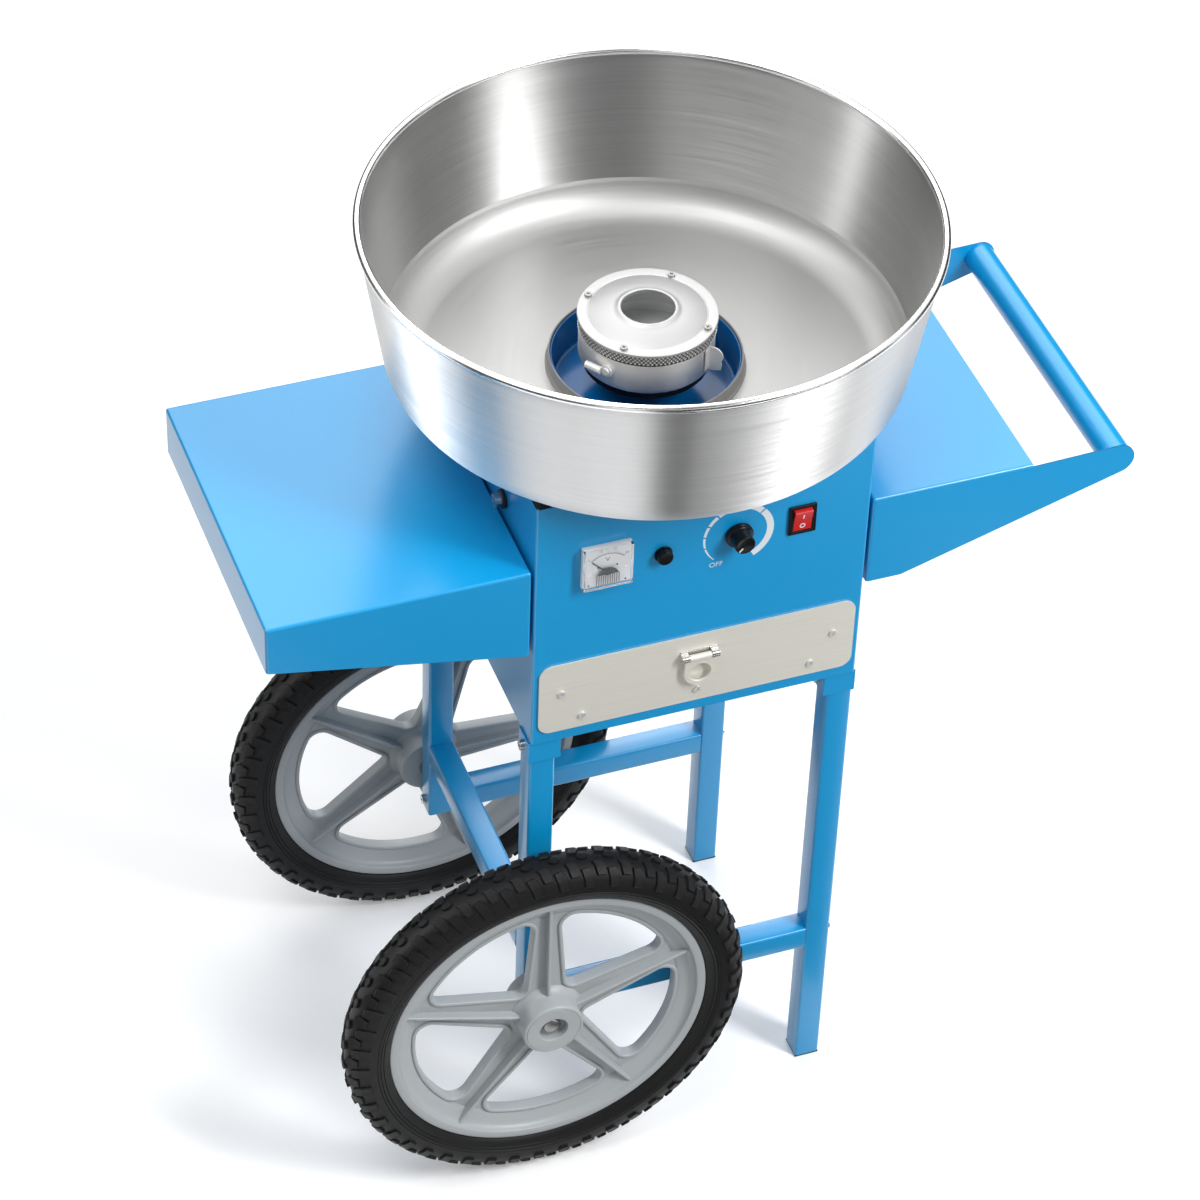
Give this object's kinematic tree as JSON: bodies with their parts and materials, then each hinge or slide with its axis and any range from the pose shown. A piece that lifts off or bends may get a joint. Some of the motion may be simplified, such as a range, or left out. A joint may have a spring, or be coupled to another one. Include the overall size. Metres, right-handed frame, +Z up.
{
  "type": "cotton candy cart",
  "caption": "Two-wheeled cotton candy cart: cabinet with motor-driven sugar head in a steel bowl, control panel, drawer, side shelves, handle and legs.",
  "frame": {"origin": "on the floor, under the middle of the whole cart's outline", "axes": "+Z up, +X towards the handle, -Y towards the control panel"},
  "size_m": [0.82, 0.5198, 0.968],
  "materials": {
    "blue_paint": "gloss",
    "bowl_steel": "brushed",
    "drawer_steel": "brushed",
    "bright_metal": "polished",
    "head_aluminium": "satin",
    "motor_steel": "satin",
    "copper_parts": "satin",
    "black_rubber": "matte",
    "seal_rubber": "matte",
    "tyre_rubber": "matte",
    "wheel_plastic": "satin",
    "black_plastic": "gloss",
    "red_plastic": "gloss",
    "white_plastic": "matte",
    "clear_cover": "clear"
  },
  "bodies": {
    "cart": {"base_plate": "blue_paint", "left_side_panel": "blue_paint", "right_side_panel": "blue_paint", "back_panel": "blue_paint", "front_panel": "blue_paint", "top_plate": "blue_paint", "bowl_mat": "black_rubber", "well_cup": "blue_paint", "motor_bracket": "motor_steel", "motor_can": "motor_steel", "stator": "copper_parts", "brush_holder": "black_plastic", "left_shelf": "blue_paint", "right_shelf": "blue_paint", "handle_tube": "blue_paint", "shelf_bolts": "bright_metal", "shelf_washers": "black_rubber", "front_left_leg": "blue_paint", "rear_left_leg": "blue_paint", "front_right_leg": "blue_paint", "rear_right_leg": "blue_paint", "leg_sockets": "blue_paint", "leg_bolts": "bright_metal", "foot_plugs": "black_plastic", "front_brace": "blue_paint", "rear_brace": "blue_paint", "axle_beam": "blue_paint", "stub_axles": "bright_metal", "drawer_runners": "motor_steel", "meter_case": "white_plastic", "meter_dial": "white_plastic", "meter_window": "clear_cover", "fuse_holder": "black_plastic", "regulator": "black_plastic", "switch_housing": "black_plastic", "cord_gland": "black_plastic"},
    "front_wheel": {"front_wheel": "wheel_plastic", "front_tyre": "tyre_rubber"},
    "rear_wheel": {"rear_wheel": "wheel_plastic", "rear_tyre": "tyre_rubber"},
    "spinner": {"rotor_shaft": "motor_steel", "slip_sleeve": "black_plastic", "slip_rings": "copper_parts", "head_base": "head_aluminium", "heater_ring": "motor_steel", "head_band": "bright_metal", "head_lid": "head_aluminium", "head_screws": "bright_metal", "head_terminals": "bright_metal"},
    "bowl": {"bowl": "bowl_steel", "bowl_seal": "seal_rubber"},
    "drawer": {"drawer_box": "motor_steel", "drawer_front": "drawer_steel", "drawer_screws": "bright_metal", "pull_bracket": "bright_metal"},
    "pull_ring": {"pull_ring": "drawer_steel"},
    "heat_knob": {"heat_knob": "black_plastic"},
    "switch_rocker": {"switch_rocker": "red_plastic"},
    "fuse_cap": {"fuse_cap": "black_plastic"},
    "meter_needle": {"meter_needle": "black_plastic"}
  },
  "joints": [
    {"name": "front_wheel_spin", "type": "hinge", "parent": "cart", "child": "front_wheel", "pos_m": [-0.156, -0.1865, 0.2], "axis": [0, 1, 0], "continuous": true},
    {"name": "rear_wheel_spin", "type": "hinge", "parent": "cart", "child": "rear_wheel", "pos_m": [-0.156, 0.1865, 0.2], "axis": [0, 1, 0], "continuous": true},
    {"name": "head_spin", "type": "hinge", "parent": "cart", "child": "spinner", "pos_m": [-0.008, 0, 0.84], "axis": [0, 0, 1], "continuous": true},
    {"name": "bowl_lift", "type": "slide", "parent": "cart", "child": "bowl", "axis": [0, 0, 1], "range_m": [0, 0.2]},
    {"name": "drawer_slide", "type": "slide", "parent": "cart", "child": "drawer", "axis": [0, -1, 0], "range_m": [0, 0.22]},
    {"name": "pull_swing", "type": "hinge", "parent": "drawer", "child": "pull_ring", "pos_m": [-0.008, -0.1651, 0.5945], "axis": [-1, 0, 0], "range_deg": [0, 90]},
    {"name": "heat_turn", "type": "hinge", "parent": "cart", "child": "heat_knob", "pos_m": [0.024, -0.165, 0.727], "axis": [0, 1, 0], "range_deg": [0, 290]},
    {"name": "switch_rock", "type": "hinge", "parent": "cart", "child": "switch_rocker", "pos_m": [0.084, -0.1575, 0.729], "axis": [-1, 0, 0], "range_deg": [0, 18]},
    {"name": "fuse_pull", "type": "slide", "parent": "cart", "child": "fuse_cap", "axis": [0, -1, 0], "range_m": [0, 0.04]},
    {"name": "needle_sweep", "type": "hinge", "parent": "cart", "child": "meter_needle", "pos_m": [-0.101, -0.1645, 0.7215], "axis": [0, 1, 0], "range_deg": [0, 90]}
  ]
}
